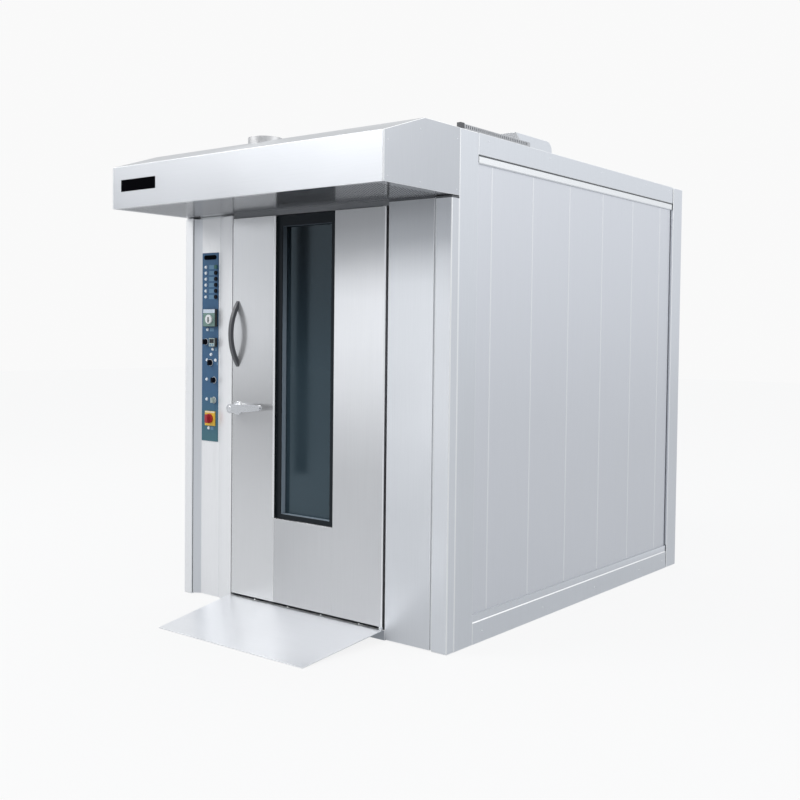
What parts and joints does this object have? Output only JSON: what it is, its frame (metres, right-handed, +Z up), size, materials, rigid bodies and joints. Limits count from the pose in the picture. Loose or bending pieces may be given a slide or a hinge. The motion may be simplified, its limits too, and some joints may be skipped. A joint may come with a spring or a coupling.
{
  "type": "rotating rack oven",
  "caption": "Floor-standing rotating rack oven with a glazed swing door, a projecting hood, a side control column, a ramp and a roof fan cover.",
  "frame": {"origin": "centre of the body's footprint on the floor", "axes": "+Z up, -Y out of the door, +X to the right seen from the front"},
  "size_m": [1.812, 3.085, 2.67],
  "materials": {
    "stainless": "fine brushed stainless steel",
    "stainless_bright": "bright brushed stainless steel",
    "panel": "satin stainless cassettes",
    "galvanised": "galvanised sheet",
    "dark_steel": "dark enamelled steel",
    "window_black": "satin black enamel",
    "glass": "tinted toughened glass",
    "seal_rubber": "black silicone",
    "wool": "mineral wool",
    "handle_grey": "satin dark grey",
    "chrome": "satin chrome",
    "strip_blue": "blue control foil",
    "black_plastic": "black",
    "green_plastic": "green",
    "white_plastic": "white",
    "silver_plastic": "silver green",
    "yellow_plastic": "yellow",
    "red_plastic": "red",
    "motor_paint": "machine enamel",
    "burner_paint": "red enamel",
    "heat_steel": "heat tinted steel"
  },
  "bodies": {
    "root": {"base_frame": "stainless", "corner_posts": "stainless", "top_rails": "stainless", "side_wall_panels": "panel", "rear_wall_panels": "panel", "roof_panels": "galvanised", "corner_columns": "stainless", "right_front_panel": "panel", "control_column": "stainless", "latch_jamb": "stainless_bright", "door_frame": "galvanised", "header_beam": "dark_steel", "threshold": "stainless", "ramp": "panel", "latch_keeper": "stainless_bright", "hinge_pivots": "stainless_bright", "hood_shell": "stainless", "hood_cheeks": "stainless", "hood_grille": "stainless_bright", "duct_collars": "galvanised", "control_strip": "strip_blue", "panel_display": "black_plastic", "indicator_lamps": "white_plastic", "temperature_controller": "green_plastic", "cycle_timer": "black_plastic", "main_switch_plate": "yellow_plastic", "chamber_liner": "stainless_bright", "air_panels": "stainless_bright", "drive_gearmotor": "motor_paint", "fan_motors": "motor_paint", "fan_motor_cover": "stainless", "heat_exchanger": "heat_steel", "burner": "burner_paint", "cable_duct": "stainless"},
    "door": {"door_stiles": "panel", "door_lower_panel": "panel", "door_liner": "stainless", "door_insulation": "wool", "window_frame": "window_black", "window_panes": "glass", "door_gasket": "seal_rubber", "bow_handle": "handle_grey", "latch_rose": "chrome"},
    "latch_lever": {"latch_lever": "chrome"},
    "latch_bolt": {"latch_bolt": "stainless_bright"},
    "rack_hook": {"rack_hook": "stainless_bright"},
    "circulation_fan": {"circulation_fan": "galvanised"},
    "hood_fan": {"hood_fan": "galvanised"},
    "temperature_dial": {"temperature_dial": "white_plastic"},
    "main_switch_knob": {"main_switch_knob": "red_plastic"},
    "button_1": {"button_1": "green_plastic"},
    "button_2": {"button_2": "black_plastic"},
    "button_3": {"button_3": "black_plastic"},
    "button_4": {"button_4": "black_plastic"},
    "button_5": {"button_5": "black_plastic"},
    "button_6": {"button_6": "black_plastic"},
    "selector_1": {"selector_1": "black_plastic"},
    "selector_2": {"selector_2": "black_plastic"},
    "selector_3": {"selector_3": "black_plastic"},
    "selector_4": {"selector_4": "silver_plastic"}
  },
  "joints": [
    {"name": "door_swing", "type": "hinge", "parent": "root", "child": "door", "pos_m": [0.508, -1.245, 1.06], "axis": [0, 0, 1], "range_deg": [0, 115]},
    {"name": "lever_turn", "type": "hinge", "parent": "door", "child": "latch_lever", "pos_m": [-0.48, -1.265, 1.058], "axis": [0, 1, 0], "range_deg": [0, 60]},
    {"name": "bolt_throw", "type": "slide", "parent": "door", "child": "latch_bolt", "axis": [-1, 0, 0], "range_m": [0, 0.018]},
    {"name": "rack_turn", "type": "hinge", "parent": "root", "child": "rack_hook", "pos_m": [0, -0.4427, 2.2], "axis": [0, 0, 1], "continuous": true},
    {"name": "circulation_fan_spin", "type": "hinge", "parent": "root", "child": "circulation_fan", "pos_m": [0, 0.435, 2.3], "axis": [0, 0, 1], "continuous": true},
    {"name": "hood_fan_spin", "type": "hinge", "parent": "root", "child": "hood_fan", "pos_m": [-0.191, -1.355, 2.3], "axis": [0, 0, 1], "continuous": true},
    {"name": "button_1_press", "type": "slide", "parent": "root", "child": "button_1", "axis": [0, 1, 0], "range_m": [0, 0.003], "stiffness_N_per_m": 300, "springref_m": -0.001},
    {"name": "button_2_press", "type": "slide", "parent": "root", "child": "button_2", "axis": [0, 1, 0], "range_m": [0, 0.003], "stiffness_N_per_m": 300, "springref_m": -0.001},
    {"name": "button_3_press", "type": "slide", "parent": "root", "child": "button_3", "axis": [0, 1, 0], "range_m": [0, 0.003], "stiffness_N_per_m": 300, "springref_m": -0.001},
    {"name": "button_4_press", "type": "slide", "parent": "root", "child": "button_4", "axis": [0, 1, 0], "range_m": [0, 0.003], "stiffness_N_per_m": 300, "springref_m": -0.001},
    {"name": "button_5_press", "type": "slide", "parent": "root", "child": "button_5", "axis": [0, 1, 0], "range_m": [0, 0.003], "stiffness_N_per_m": 300, "springref_m": -0.001},
    {"name": "button_6_press", "type": "slide", "parent": "root", "child": "button_6", "axis": [0, 1, 0], "range_m": [0, 0.003], "stiffness_N_per_m": 300, "springref_m": -0.001},
    {"name": "temperature_dial_turn", "type": "hinge", "parent": "root", "child": "temperature_dial", "pos_m": [-0.7175, -1.253, 1.532], "axis": [0, 1, 0], "range_deg": [0, 270]},
    {"name": "selector_1_turn", "type": "hinge", "parent": "root", "child": "selector_1", "pos_m": [-0.7675, -1.235, 1.408], "axis": [0, 1, 0], "range_deg": [0, 90]},
    {"name": "selector_2_turn", "type": "hinge", "parent": "root", "child": "selector_2", "pos_m": [-0.7275, -1.235, 1.294], "axis": [0, 1, 0], "range_deg": [0, 90]},
    {"name": "selector_3_turn", "type": "hinge", "parent": "root", "child": "selector_3", "pos_m": [-0.6995, -1.235, 1.199], "axis": [0, 1, 0], "range_deg": [0, 90]},
    {"name": "selector_4_turn", "type": "hinge", "parent": "root", "child": "selector_4", "pos_m": [-0.6995, -1.235, 1.089], "axis": [0, 1, 0], "range_deg": [0, 90]},
    {"name": "main_switch_turn", "type": "hinge", "parent": "root", "child": "main_switch_knob", "pos_m": [-0.7285, -1.241, 0.987], "axis": [0, 1, 0], "range_deg": [0, 90]}
  ],
  "couplings": [
    {"joint": "bolt_throw", "follows": "lever_turn", "m_per_rad": 0.0171}
  ]
}
